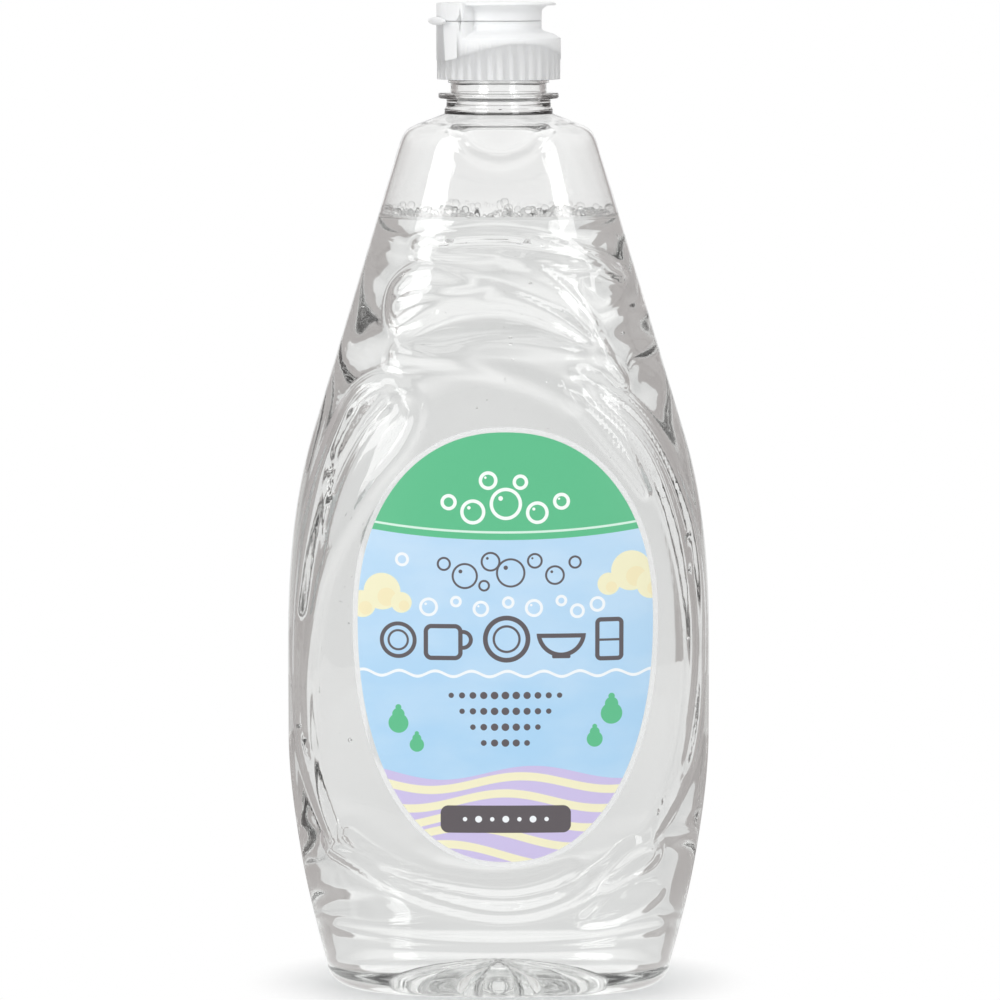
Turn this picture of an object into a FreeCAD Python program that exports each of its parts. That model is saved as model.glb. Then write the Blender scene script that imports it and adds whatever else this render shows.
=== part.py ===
import FreeCAD, Part
import math
import os
from FreeCAD import Vector

# Dish soap bottle with a flip-top closure. Millimetres, +Z up, origin under the middle of the foot.
# The front faces -Y and the wide side lies along X.

# Bottle body: heights and half sizes of its key sections
foot_half_width = 37.8
foot_half_depth = 17.6
heel_z = 6.0
heel_half_width = 44.2
heel_half_depth = 23.2
flank_z = 34.0
flank_half_width = 50.5
flank_half_depth = 24.6
belly_low_z = 65.0
belly_high_z = 82.0
belly_half_width = 53.6
belly_half_depth = 25.3
taper_z = 142.0
taper_half_width = 46.9
taper_half_depth = 23.8
shoulder_z = 213.0
shoulder_half_width = 25.4
shoulder_half_depth = 19.5
neck_foot_z = 222.2
heel_flare = 0.26
heel_depth_flare = 0.08
flank_flare = 0.16
flank_depth_flare = 0.03
shoulder_slope_share = 0.4
shoulder_sharpness = 5.0
body_fullness = 0.69
heel_steps = 5
wall = 0.8

# Pushed-up foot with radial ribs
push_half_width = 27.0
push_half_depth = 11.5
push_height = 6.5
push_rib_count = 10
push_rib_width = 1.6
push_rib_depth = 1.2

# Moulded relief on the two wide faces
relief_height = 0.8

# Neck finish
neck_plug_z = 219.6
neck_tuck = 0.3
neck_root_r = 12.0
neck_bead_r = 12.75
neck_bead_z = 229.8
neck_bead_height = 0.9
bore_r = 10.7
shoulder_bore_r = 12.0
collar_r = 13.6
collar_top_z = 223.5
ring_seat_r = 13.1
ring_r = 15.1
ring_z = 226.0
ring_thickness = 1.4
thread_pitch = 4.233
thread_turns = 1.5
thread_crest_r = 13.3
thread_start_z = 230.2
thread_start_deg = 250.0
thread_base_width = 2.1
thread_crest_width = 1.0
thread_root_bite = 0.5
thread_bite_width = 0.4

# Closure
closure_top_z = 250.0
skirt_r = 15.6
skirt_bottom_z = 230.8
skirt_edge_z = 241.0
deck_z = 242.2
deck_r = 13.5
deck_thickness = 1.6
thread_clearance = 0.4
cap_thread_width = 1.1
cap_thread_crest_width = 0.6
cap_thread_turns = 1.0
turret_r = 10.8
turret_wall = 1.3
waist_steps = 8
waist_reach = 0.42
waist_power = 2.2
parting_z = 245.3
parting_gap = 0.1
plate_r = 14.35
plate_thickness = 0.9
plate_overhang = 2.0
spout_r = 3.0
spout_height = 1.9
orifice_r = 1.8
pin_r = 1.45
pin_depth = 1.2
hinge_deg = 194.0
block_half_deg = 41.0
hinge_r = 15.9
hinge_bead_r = 1.05
hinge_length = 17.0
hinge_clearance = 0.1
slit_width = 0.8
slit_height = 6.0
slit_depth = 2.2
slit_inset_deg = 3.0
edge_break = 0.4
flute_count = 36
flute_steps = 8
flute_depth = 0.2
flute_ledge = 0.15
flute_turn_deg = 8.0
flute_high_z = 239.7
flute_low_z = 235.3
liner_thickness = 0.8
liner_gap = 0.05
liner_inner_r = 4.5

# Contents and labels
fill_z = 197.0
liquid_clearance = 0.15
label_x = 1.7
label_middle_z = 97.0
label_half_width = 38.1
label_top = 48.6
label_bottom = 62.0
label_squareness = 2.2
label_outline_points = 28
back_label_half_width = 31.0
back_label_bottom_z = 51.0
back_label_top_z = 128.0
back_label_corner_r = 9.0
label_thickness = 0.12
label_glue = 0.03

# Values that follow from the sizes above
round_fullness = 4.0 / 3.0 * math.tan(math.pi / 8.0)
face_reach = belly_half_depth * 3.0
deck_under_z = deck_z - deck_thickness
neck_rim_z = deck_under_z - liner_thickness - 2.0 * liner_gap
cap_bore_r = thread_crest_r + thread_clearance
cap_crest_r = neck_root_r + thread_clearance
plate_under_z = closure_top_z - plate_thickness


def hermite(z, low, high):
    """Smooth curve between two knots, each a height, a value and a slope."""
    span = high[0] - low[0]
    t = (z - low[0]) / span
    rise = t * t * (3.0 - 2.0 * t)
    start = t * (1.0 - t) ** 2 * span * low[2]
    end = t * t * (t - 1.0) * span * high[2]
    return low[1] * (1.0 - rise) + high[1] * rise + start + end


def along(z, knots):
    for low, high in zip(knots, knots[1:]):
        if z <= high[0]:
            return hermite(z, low, high)
    return hermite(z, knots[-2], knots[-1])


def half_sizes(z):
    """Half width and half depth of the body's outside at a height between heel and shoulder."""
    width_taper = (shoulder_half_width - taper_half_width) / (shoulder_z - taper_z)
    depth_taper = (shoulder_half_depth - taper_half_depth) / (shoulder_z - taper_z)
    widths = [
        (heel_z, heel_half_width, heel_flare),
        (flank_z, flank_half_width, flank_flare),
        (belly_low_z, belly_half_width, 0.0),
        (belly_high_z, belly_half_width, 0.0),
        (taper_z, taper_half_width, width_taper),
        (shoulder_z, shoulder_half_width, width_taper),
    ]
    depths = [
        (heel_z, heel_half_depth, heel_depth_flare),
        (flank_z, flank_half_depth, flank_depth_flare),
        (belly_low_z, belly_half_depth, 0.0),
        (belly_high_z, belly_half_depth, 0.0),
        (taper_z, taper_half_depth, depth_taper),
        (shoulder_z, shoulder_half_depth, depth_taper),
    ]
    return along(z, widths), along(z, depths)


def section(half_width, half_depth, fullness, z):
    """Closed squared oval at one height, as four quarters. Fullness is the share of each handle."""
    quarters = []
    for across, up in ((1, 1), (-1, 1), (-1, -1), (1, -1)):
        side = Vector(half_width * across, 0.0, z)
        side_handle = Vector(half_width * across, half_depth * up * fullness, z)
        face_handle = Vector(half_width * across * fullness, half_depth * up, z)
        face = Vector(0.0, half_depth * up, z)
        poles = [side, side_handle, face_handle, face]
        if across * up < 0:
            poles.reverse()
        curve = Part.BezierCurve()
        curve.setPoles(poles)
        quarters.append(curve.toShape())
    return Part.Wire(quarters)


def heel_section(grow, share):
    """Rounded heel: share runs from 0 on the foot to 1 at the heel's top."""
    turn = math.pi / 2.0 * share
    lift = heel_z * (1.0 - math.cos(turn))
    out = math.sin(turn)
    half_width = foot_half_width + (heel_half_width - foot_half_width) * out
    half_depth = foot_half_depth + (heel_half_depth - foot_half_depth) * out
    z = lift - grow * (1.0 - share)
    return section(half_width + grow, half_depth + grow, body_fullness, z)


def shoulder_hold(share):
    """How much of its overhang the shoulder keeps at a share of its height."""
    if share >= 1.0:
        return 0.0
    start = 1.0 + shoulder_slope_share ** shoulder_sharpness
    here = 1.0 + (shoulder_slope_share / (1.0 - share)) ** shoulder_sharpness
    return (start / here) ** (1.0 / shoulder_sharpness)


def shoulder_section(grow, share, top_r):
    """Shoulder with a corner and a slope: share runs from 0 at its foot to 1 at the neck."""
    top_z = neck_foot_z + grow
    z = shoulder_z + (top_z - shoulder_z) * share
    half_width, half_depth = half_sizes(z)
    hold = shoulder_hold(share)
    half_width = top_r + (half_width + grow - top_r) * hold
    half_depth = top_r + (half_depth + grow - top_r) * hold
    fullness = body_fullness + (round_fullness - body_fullness) * share ** 2
    return section(half_width, half_depth, fullness, z)


def main_section(grow, z):
    half_width, half_depth = half_sizes(z)
    return section(half_width + grow, half_depth + grow, body_fullness, z)


def main_form(grow, top_z):
    """The form between heel and shoulder, or up to a level."""
    heights = [heel_z, (heel_z + flank_z) / 2.0, flank_z]
    heights += [(flank_z + belly_low_z) / 2.0, belly_low_z, belly_high_z]
    heights += [belly_high_z + (taper_z - belly_high_z) * i / 3.0 for i in (1, 2, 3)]
    heights.append(top_z)
    return Part.makeLoft([main_section(grow, z) for z in heights], True, True)


def heel_form(grow):
    return Part.makeLoft([heel_section(grow, i / heel_steps) for i in range(heel_steps + 1)], True, True)


def body_form(grow, top_r):
    """Whole body from foot to neck, larger by grow on every side."""
    corner = 1.0 - shoulder_slope_share
    shares = [0.0, corner / 2.0]
    shares += [corner + shoulder_slope_share * step for step in (-0.3, -0.12, 0.0, 0.15, 0.4, 0.7, 1.0)]
    shoulder = Part.makeLoft([shoulder_section(grow, s, top_r) for s in shares], True, True)
    return heel_form(grow).fuse([main_form(grow, shoulder_z), shoulder])


def filled_form(grow, top_z):
    """The body's form cut off level, for what fills it."""
    return heel_form(grow).fuse(main_form(grow, top_z))


def push_up(grow):
    """Flattened dome that lifts the middle of the foot."""
    dome = Part.makeSphere(1.0)
    stretch = FreeCAD.Matrix()
    stretch.scale(push_half_width + grow, push_half_depth + grow, push_height + grow)
    return dome.transformGeometry(stretch)


def push_ribs():
    """Radial ribs under the dome."""
    ribs = []
    for i in range(push_rib_count):
        rib = Part.makeBox(push_half_width * 2.0, push_rib_width, push_height * 2.0)
        rib.translate(Vector(0.0, -push_rib_width / 2.0, 0.0))
        rib.rotate(Vector(0, 0, 0), Vector(0, 0, 1), 360.0 * i / push_rib_count)
        ribs.append(rib)
    star = ribs[0].fuse(ribs[1:])
    star = star.common(push_up(wall / 2.0))
    return star.cut(push_up(-push_rib_depth))


def outline_wire(points):
    """Closed smooth outline through points on the front, each an x and a z."""
    curve = Part.BSplineCurve()
    curve.interpolate(Points=[Vector(x, 0.0, z) for x, z in points], PeriodicFlag=True)
    return Part.Wire([curve.toShape()])


def front_prism(wire):
    return Part.Face(wire).extrude(Vector(0.0, -face_reach, 0.0))


# Outlines of the moulded leaves and bands, as x and z on the front
left_leaf = [
    (-41.5, 40.0), (-49.0, 62.0), (-50.3, 88.0), (-47.5, 119.0), (-41.0, 142.0), (-33.0, 154.5),
    (-25.0, 156.5), (-19.0, 149.0), (-31.0, 129.5), (-42.5, 109.0), (-47.2, 82.0), (-45.5, 56.0),
]
right_blade = [
    (18.5, 159.0), (32.0, 150.8), (43.0, 134.0), (49.8, 110.0), (51.0, 84.0), (48.0, 59.0),
    (38.0, 41.5), (45.5, 61.0), (48.2, 86.0), (45.2, 114.0), (37.5, 137.0), (25.5, 151.5),
]
upper_leaf = [
    (-26.4, 174.0), (-24.5, 181.0), (-17.0, 184.8), (-6.0, 181.5), (8.0, 176.5), (20.0, 168.8),
    (30.0, 157.5), (20.0, 167.0), (8.0, 174.5), (-6.0, 176.6), (-17.0, 174.0), (-24.0, 170.0),
]
top_band = [
    (-19.4, 190.2), (-8.0, 192.6), (4.0, 192.6), (17.0, 189.5), (29.0, 183.4), (17.0, 187.2),
    (4.0, 189.4), (-8.0, 189.8),
]
low_swoosh = [
    (-40.0, 37.0), (-26.0, 31.5), (-12.0, 26.5), (1.0, 24.6), (14.0, 27.0), (27.0, 35.8),
    (36.5, 39.0), (34.0, 33.5), (20.0, 26.0), (1.0, 21.8), (-15.0, 24.6), (-30.0, 31.0),
]
low_loop = [
    (21.7, 20.4), (26.0, 25.2), (33.0, 29.2), (39.3, 28.8), (36.0, 23.6), (29.0, 20.8),
]
relief_outlines = [left_leaf, right_blade, upper_leaf, top_band, low_swoosh, low_loop]


def relief():
    """Raised pads of the relief on the front, and the same turned round for the back."""
    skin = main_form(relief_height, shoulder_z)
    pads = []
    for points in relief_outlines:
        pad = front_prism(outline_wire(points)).common(skin)
        back = pad.copy()
        back.rotate(Vector(0, 0, 0), Vector(0, 0, 1), 180.0)
        pads.extend([pad, back])
    return pads


def ring(profile):
    """Solid of revolution about Z from a closed outline of radius and height."""
    points = [Vector(r, 0.0, z) for r, z in profile]
    wire = Part.makePolygon(points + points[:1])
    return Part.Face(wire).revolve(Vector(0, 0, 0), Vector(0, 0, 1), 360.0)


def thread(inner_r, outer_r, inner_width, outer_width, start_z, start_deg, turns):
    """Helical rib whose two radii carry its two widths."""
    path = Part.Wire(Part.makeHelix(thread_pitch, thread_pitch * turns, inner_r).Edges)
    half_in = inner_width / 2.0
    half_out = outer_width / 2.0
    corners = [
        Vector(inner_r, 0.0, -half_in),
        Vector(outer_r, 0.0, -half_out),
        Vector(outer_r, 0.0, half_out),
        Vector(inner_r, 0.0, half_in),
    ]
    rib = path.makePipeShell([Part.makePolygon(corners + corners[:1])], True, True)
    rib.rotate(Vector(0, 0, 0), Vector(0, 0, 1), start_deg)
    rib.translate(Vector(0.0, 0.0, start_z))
    return rib


def neck():
    """Neck finish: collar, support ring, plain neck and rim."""
    profile = [
        (bore_r, neck_plug_z),
        (collar_r - wall, neck_plug_z),
        (collar_r, neck_foot_z - wall),
        (collar_r, collar_top_z),
        (ring_seat_r, collar_top_z + wall),
        (ring_seat_r, ring_z),
        (ring_r, ring_z),
        (ring_r, ring_z + ring_thickness),
        (neck_root_r, ring_z + ring_thickness),
        (neck_root_r, neck_bead_z),
        (neck_bead_r, neck_bead_z + edge_break / 2.0),
        (neck_bead_r, neck_bead_z + neck_bead_height - edge_break / 2.0),
        (neck_root_r, neck_bead_z + neck_bead_height),
        (neck_root_r, neck_rim_z - edge_break),
        (neck_root_r - edge_break, neck_rim_z),
        (bore_r, neck_rim_z),
    ]
    return ring(profile)


def bottle():
    outside = body_form(0.0, collar_r - neck_tuck).fuse([neck()] + relief())
    inside = body_form(-wall, shoulder_bore_r).cut(push_up(wall))
    bore = Part.makeCylinder(bore_r, neck_rim_z, Vector(0, 0, shoulder_z))
    shell = outside.cut([inside, bore, push_up(0.0)]).fuse(push_ribs())
    rib_z = thread_start_z + thread_base_width / 2.0
    root_r = neck_root_r - thread_root_bite
    root_width = thread_base_width + thread_bite_width
    screw = thread(
        root_r, thread_crest_r, root_width, thread_crest_width, rib_z, thread_start_deg, thread_turns,
    )
    return shell.fuse(screw)


def dish_liquid():
    grow = -(wall + liquid_clearance)
    return filled_form(grow, fill_z).cut(push_up(-grow))


def label_film(slab):
    """Thin film that follows the body where a slab passes through its face."""
    outer = main_form(label_glue + label_thickness, shoulder_z)
    return slab.common(outer).cut(main_form(label_glue, shoulder_z))


def front_label():
    points = []
    for i in range(label_outline_points):
        angle = 2.0 * math.pi * i / label_outline_points
        c = math.cos(angle)
        s = math.sin(angle)
        k = (abs(c) ** label_squareness + abs(s) ** label_squareness) ** (-1.0 / label_squareness)
        reach = label_top if s > 0.0 else label_bottom
        points.append((label_x + label_half_width * c * k, label_middle_z + reach * s * k))
    return label_film(front_prism(outline_wire(points)))


def back_label():
    width = 2.0 * back_label_half_width
    height = back_label_top_z - back_label_bottom_z
    slab = Part.makeBox(width, face_reach, height)
    slab.translate(Vector(-back_label_half_width, 0.0, back_label_bottom_z))
    upright = [e for e in slab.Edges if abs(e.tangentAt(e.FirstParameter).y) > 0.9]
    slab = slab.makeFillet(back_label_corner_r, upright)
    return label_film(slab)


def seal_liner():
    profile = [
        (liner_inner_r, neck_rim_z + liner_gap),
        (cap_bore_r - liner_gap, neck_rim_z + liner_gap),
        (cap_bore_r - liner_gap, deck_under_z - liner_gap),
        (liner_inner_r, deck_under_z - liner_gap),
    ]
    return ring(profile)


def waist_profile(low_z, high_z, low_r, high_r):
    """Points of a wall that curves in from one radius and out to the other."""
    points = []
    for i in range(waist_steps + 1):
        t = i / waist_steps
        z = low_z + (high_z - low_z) * t
        flare_low = (low_r - turret_r) * max(0.0, 1.0 - t / waist_reach) ** waist_power
        flare_high = (high_r - turret_r) * max(0.0, 1.0 - (1.0 - t) / waist_reach) ** waist_power
        points.append((turret_r + flare_low + flare_high, z))
    return points


def turned(shape):
    """Turn a shape from the +X side to the hinge's side."""
    shape.rotate(Vector(0, 0, 0), Vector(0, 0, 1), hinge_deg)
    return shape


def hinge_sector(low_z, high_z, inner_r, outer_r):
    """Block of the closure's hinge side between two heights."""
    tube = Part.makeCylinder(outer_r, high_z - low_z, Vector(0, 0, low_z))
    tube = tube.cut(Part.makeCylinder(inner_r, high_z - low_z, Vector(0, 0, low_z)))
    far = outer_r * 3.0
    a = math.radians(block_half_deg)
    corners = [
        Vector(0, 0, low_z),
        Vector(far * math.cos(a), -far * math.sin(a), low_z),
        Vector(far * math.cos(a), far * math.sin(a), low_z),
    ]
    wedge = Part.Face(Part.makePolygon(corners + corners[:1])).extrude(Vector(0, 0, high_z - low_z))
    return turned(tube.common(wedge))


def hinge_bead(grow):
    """Slim spindle on the hinge's line, thick in its middle."""
    bead = Part.makeSphere(1.0)
    stretch = FreeCAD.Matrix()
    stretch.scale(hinge_bead_r + grow, hinge_length / 2.0 + grow, hinge_bead_r + grow)
    bead = bead.transformGeometry(stretch)
    bead.translate(Vector(hinge_r, 0.0, parting_z))
    return turned(bead)


def slits():
    """Slots beside the hinge, pointed at both ends."""
    cuts = []
    for side in (-1.0, 1.0):
        half = slit_height / 2.0
        corners = [
            Vector(skirt_r - slit_depth, 0.0, parting_z - half),
            Vector(skirt_r - slit_depth, slit_width / 2.0, parting_z),
            Vector(skirt_r - slit_depth, 0.0, parting_z + half),
            Vector(skirt_r - slit_depth, -slit_width / 2.0, parting_z),
        ]
        slot = Part.Face(Part.makePolygon(corners + corners[:1])).extrude(Vector(slit_depth * 2.0, 0, 0))
        slot.rotate(Vector(0, 0, 0), Vector(0, 0, 1), side * (block_half_deg - slit_inset_deg))
        cuts.append(turned(slot))
    return cuts


def fluted_core():
    """Upright column whose outline waves in and out once for each flute."""
    points = []
    for i in range(flute_count * flute_steps):
        turn = 2.0 * math.pi * i / (flute_count * flute_steps)
        r = skirt_r - flute_ledge - flute_depth * (0.5 - 0.5 * math.cos(flute_count * turn))
        points.append(Vector(r * math.cos(turn), r * math.sin(turn), skirt_bottom_z - edge_break))
    face = Part.Face(Part.makePolygon(points + points[:1]))
    return face.extrude(Vector(0.0, 0.0, closure_top_z - skirt_bottom_z))


def flutes():
    """Skin taken off the skirt below a wave that is low at the hinge and opposite it, down to the flutes."""
    half = skirt_r + hinge_bead_r
    steps = 16
    low = skirt_bottom_z - edge_break
    points = [Vector(half, -half, low), Vector(-half, -half, low)]
    for i in range(steps + 1):
        x = -half + 2.0 * half * i / steps
        points.append(Vector(x, -half, flute_high_z - (flute_high_z - flute_low_z) * (x / skirt_r) ** 2))
    under_wave = Part.Face(Part.makePolygon(points + points[:1])).extrude(Vector(0.0, 2.0 * half, 0.0))
    skin = under_wave.cut(fluted_core())
    skin.rotate(Vector(0, 0, 0), Vector(0, 0, 1), flute_turn_deg)
    return turned(skin)


def cap_base():
    top = parting_z - parting_gap / 2.0
    wall_points = waist_profile(deck_z, top, deck_r, turret_r)
    profile = [
        (cap_bore_r, skirt_bottom_z),
        (skirt_r - edge_break / 2.0, skirt_bottom_z),
        (skirt_r, skirt_bottom_z + edge_break / 2.0),
        (skirt_r, skirt_edge_z),
    ]
    profile += wall_points
    profile += [
        (spout_r, top),
        (spout_r, top + spout_height - edge_break),
        (spout_r - edge_break, top + spout_height),
        (orifice_r, top + spout_height),
        (orifice_r, top - turret_wall),
        (turret_r - turret_wall, top - turret_wall),
        (turret_r - turret_wall, deck_under_z),
        (cap_bore_r, deck_under_z),
    ]
    body = ring(profile)
    block = hinge_sector(deck_under_z + deck_thickness / 4.0, top, turret_r - turret_wall / 2.0, skirt_r)
    body = body.fuse([block, hinge_bead(0.0)])
    body = body.cut([flutes()] + slits())
    root_r = cap_bore_r + thread_root_bite
    root_width = cap_thread_width + thread_bite_width
    start_z = thread_start_z + (thread_base_width + thread_pitch) / 2.0
    screw = thread(
        root_r, cap_crest_r, root_width, cap_thread_crest_width, start_z, thread_start_deg, cap_thread_turns,
    )
    return body.fuse(screw)


def flip_lid():
    bottom = parting_z + parting_gap / 2.0
    pin_z = parting_z + spout_height - pin_depth
    profile = waist_profile(bottom, plate_under_z, turret_r, plate_r - plate_overhang)
    profile += [
        (plate_r, plate_under_z + edge_break / 4.0),
        (plate_r, closure_top_z - edge_break),
        (plate_r - edge_break, closure_top_z),
        (0.0, closure_top_z),
        (0.0, pin_z),
        (pin_r - edge_break, pin_z),
        (pin_r, pin_z + edge_break),
        (pin_r, plate_under_z),
        (turret_r - turret_wall, plate_under_z),
        (turret_r - turret_wall, bottom),
    ]
    body = ring(profile)
    block = hinge_sector(bottom, closure_top_z - edge_break / 2.0, turret_r - turret_wall / 2.0, skirt_r)
    body = body.fuse(block)
    return body.cut([hinge_bead(hinge_clearance)] + slits())


def save(name, shape):
    shape = shape.removeSplitter()
    solids = shape.Solids
    solid = solids[0] if len(solids) == 1 else Part.makeCompound(solids)
    box = solid.BoundBox
    print(
        name, "solids", len(solids), "valid", solid.isValid(), "volume", round(solid.Volume / 1000.0, 2),
        "box", [round(v, 2) for v in (box.XMin, box.YMin, box.ZMin, box.XMax, box.YMax, box.ZMax)],
    )
    solid.exportStep("parts/" + name + ".step")


os.makedirs("parts", exist_ok=True)
save("bottle", bottle())
save("dish_liquid", dish_liquid())
save("front_label", front_label())
save("back_label", back_label())
save("seal_liner", seal_liner())
save("cap_base", cap_base())
save("flip_lid", flip_lid())
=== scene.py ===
# %% [markdown]
# # A clear bottle of dish soap
# The real object is a blow-moulded clear bottle, filled with clear soap, with a printed film label on its
# front, a plain one on its back and a white flip-top cap. The frame gives the pieces at their real size.
# This notebook dresses them. Glass-like objects are all about what lies behind and beside them, so shape,
# light and material are made together.

# %% Load the frame
import math

import bmesh
import bpy
import numpy as np
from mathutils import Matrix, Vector


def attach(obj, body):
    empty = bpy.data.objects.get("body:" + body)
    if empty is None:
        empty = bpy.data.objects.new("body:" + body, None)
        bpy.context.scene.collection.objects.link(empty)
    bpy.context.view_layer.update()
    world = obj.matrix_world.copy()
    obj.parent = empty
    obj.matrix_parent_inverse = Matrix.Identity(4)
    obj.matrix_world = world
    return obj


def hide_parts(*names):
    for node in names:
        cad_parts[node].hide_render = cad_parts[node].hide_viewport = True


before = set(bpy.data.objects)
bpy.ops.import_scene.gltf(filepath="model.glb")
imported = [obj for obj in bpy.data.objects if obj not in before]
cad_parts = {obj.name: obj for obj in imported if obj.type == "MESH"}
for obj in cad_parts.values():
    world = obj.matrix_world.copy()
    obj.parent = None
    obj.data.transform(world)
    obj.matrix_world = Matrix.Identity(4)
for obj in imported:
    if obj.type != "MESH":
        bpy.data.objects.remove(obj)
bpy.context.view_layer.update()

MM = 0.001

# %% [markdown]
# ## Helpers for node trees
# Shader trees and geometry trees are wired the same way: make a node, feed its inputs with numbers or with
# other sockets, and pass its output on. One small class keeps every later cell short.

# %% A short way to wire nodes
class Wiring:
    def __init__(self, tree):
        self.tree = tree

    def node(self, kind, **settings):
        node = self.tree.nodes.new(kind)
        for name, value in settings.items():
            setattr(node, name, value)
        return node

    def feed(self, socket, value):
        if isinstance(value, bpy.types.NodeSocket):
            self.tree.links.new(value, socket)
        else:
            socket.default_value = value

    def math(self, operation, *values, clamp=False):
        node = self.node("ShaderNodeMath", operation=operation, use_clamp=clamp)
        for socket, value in zip(node.inputs, values):
            self.feed(socket, value)
        return node.outputs[0]

    def soft_step(self, value, low, high):
        """0 below low, 1 above high, smooth between. With low above high it falls instead."""
        node = self.node("ShaderNodeMapRange", interpolation_type="SMOOTHSTEP")
        for name, number in (("Value", value), ("From Min", low), ("From Max", high)):
            self.feed(node.inputs[name], number)
        return node.outputs[0]

    def split(self, vector):
        node = self.node("ShaderNodeSeparateXYZ")
        self.feed(node.inputs[0], vector)
        return node.outputs[0], node.outputs[1], node.outputs[2]

    def join(self, x, y, z):
        node = self.node("ShaderNodeCombineXYZ")
        for socket, value in zip(node.inputs, (x, y, z)):
            self.feed(socket, value)
        return node.outputs[0]

    def mix(self, share, below, above):
        """Colour above laid over colour below by a share."""
        node = self.node("ShaderNodeMix", data_type="RGBA")
        self.feed(node.inputs[0], share)
        self.feed(node.inputs[6], below)
        self.feed(node.inputs[7], above)
        return node.outputs[2]

    def noise(self, vector, scale, detail=2.0):
        node = self.node("ShaderNodeTexNoise")
        self.feed(node.inputs["Vector"], vector)
        node.inputs["Scale"].default_value = scale
        node.inputs["Detail"].default_value = detail
        return node.outputs[0]

    def bump(self, height, distance, strength=1.0, normal=None):
        node = self.node("ShaderNodeBump")
        node.inputs["Distance"].default_value = distance
        self.feed(node.inputs["Strength"], strength)
        self.feed(node.inputs["Height"], height)
        if normal is not None:
            self.feed(node.inputs["Normal"], normal)
        return node.outputs[0]

    def bent(self, path):
        """1 for a ray that gloss or a clear piece has turned aside."""
        return self.math("MAXIMUM", path.outputs["Is Glossy Ray"], path.outputs["Is Transmission Ray"])


def rgb(red, green, blue):
    """A colour picked as 0 to 255 on a screen, as the linear colour that a shader takes."""
    values = []
    for channel in (red, green, blue):
        share = channel / 255.0
        values.append(share / 12.92 if share <= 0.04045 else ((share + 0.055) / 1.055) ** 2.4)
    return (*values, 1.0)


def add_object(name, mesh):
    piece = bpy.data.objects.new(name, mesh)
    bpy.context.scene.collection.objects.link(piece)
    return piece


def triangles(piece):
    return sum(len(face.vertices) - 2 for face in piece.data.polygons)


print("helpers ready")

# %% [markdown]
# ## The body's rule
# The bottle is a stack of squared ovals. Each oval has a half width, a half depth and a fullness, and all
# three follow smooth curves up the height. Writing the rule once lets the wall, the soap and both labels
# share it, so that they nest without any fitting by eye. The numbers are the frame's own, in millimetres.

# %% Stations up the bottle
# Height, half width, half depth, and the slopes of both there
WIDTH_TAPER = (25.4 - 46.9) / (213.0 - 142.0)
DEPTH_TAPER = (19.5 - 23.8) / (213.0 - 142.0)
HEEL_TOP = 6.0
SHOULDER = 213.0
NECK_FOOT = 222.2
SLOPE_SHARE = 0.4
SHARPNESS = 5.0
STATIONS = [
    (HEEL_TOP, 44.2, 23.2, 0.26, 0.08),
    (34.0, 50.5, 24.6, 0.16, 0.03),
    (65.0, 53.6, 25.3, 0.0, 0.0),
    (82.0, 53.6, 25.3, 0.0, 0.0),
    (142.0, 46.9, 23.8, WIDTH_TAPER, DEPTH_TAPER),
    (SHOULDER, 25.4, 19.5, WIDTH_TAPER, DEPTH_TAPER),
]
FOOT = (37.8, 17.6)
PUSH_UP = (27.0, 11.5, 6.5)
COLLAR_R = 13.6
BORE_R = 10.7
INNER_COLLAR_R = 12.8
WALL = 0.8
FULL = 0.69
ROUND = 4.0 / 3.0 * math.tan(math.pi / 8.0)
FILL = 197.0


def hermite(z, low, high, value, slope):
    span = high[0] - low[0]
    t = (z - low[0]) / span
    rise = t * t * (3.0 - 2.0 * t)
    start = t * (1.0 - t) ** 2 * span * low[slope]
    end = t * t * (t - 1.0) * span * high[slope]
    return low[value] * (1.0 - rise) + high[value] * rise + start + end


def half_sizes(z):
    """Half width and half depth of the body's outside at a height."""
    for low, high in zip(STATIONS, STATIONS[1:]):
        if z <= high[0]:
            break
    return hermite(z, low, high, 1, 3), hermite(z, low, high, 2, 4)


print("half sizes at the belly:", half_sizes(75.0), "and under the shoulder:", half_sizes(205.0))

# %% Rings of points
QUARTER = 64


def quarter_shares(t, fullness):
    """Shares of the half width and half depth along a quarter, from the side to the face."""
    side = (1 - t) ** 3 + 3 * t * (1 - t) ** 2 + 3 * fullness * t * t * (1 - t)
    face = 3 * fullness * t * (1 - t) ** 2 + 3 * t * t * (1 - t) + t ** 3
    return side, face


def ring(half_width, half_depth, fullness, z, quarter=QUARTER):
    """Points of one squared oval, counter-clockwise from the +X side, in millimetres."""
    t = np.arange(quarter) / quarter
    side, face = quarter_shares(t, fullness)
    back_side, back_face = quarter_shares(1.0 - t, fullness)
    x = half_width * np.concatenate([side, -back_side, -side, back_side])
    y = half_depth * np.concatenate([face, back_face, -face, -back_face])
    return np.stack([x, y, np.full_like(x, z)], axis=1)


def heel_ring(share, grow):
    turn = math.pi / 2.0 * share
    out = math.sin(turn)
    half_width = FOOT[0] + (STATIONS[0][1] - FOOT[0]) * out + grow
    half_depth = FOOT[1] + (STATIONS[0][2] - FOOT[1]) * out + grow
    return half_width, half_depth, FULL, HEEL_TOP * (1.0 - math.cos(turn)) - grow * (1.0 - share)


def main_ring(z, grow):
    half_width, half_depth = half_sizes(z)
    return half_width + grow, half_depth + grow, FULL, z


def shoulder_hold(share):
    """How much of its overhang the shoulder keeps at a share of its height."""
    if share >= 1.0:
        return 0.0
    start = 1.0 + SLOPE_SHARE ** SHARPNESS
    here = 1.0 + (SLOPE_SHARE / (1.0 - share)) ** SHARPNESS
    return (start / here) ** (1.0 / SHARPNESS)


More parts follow.
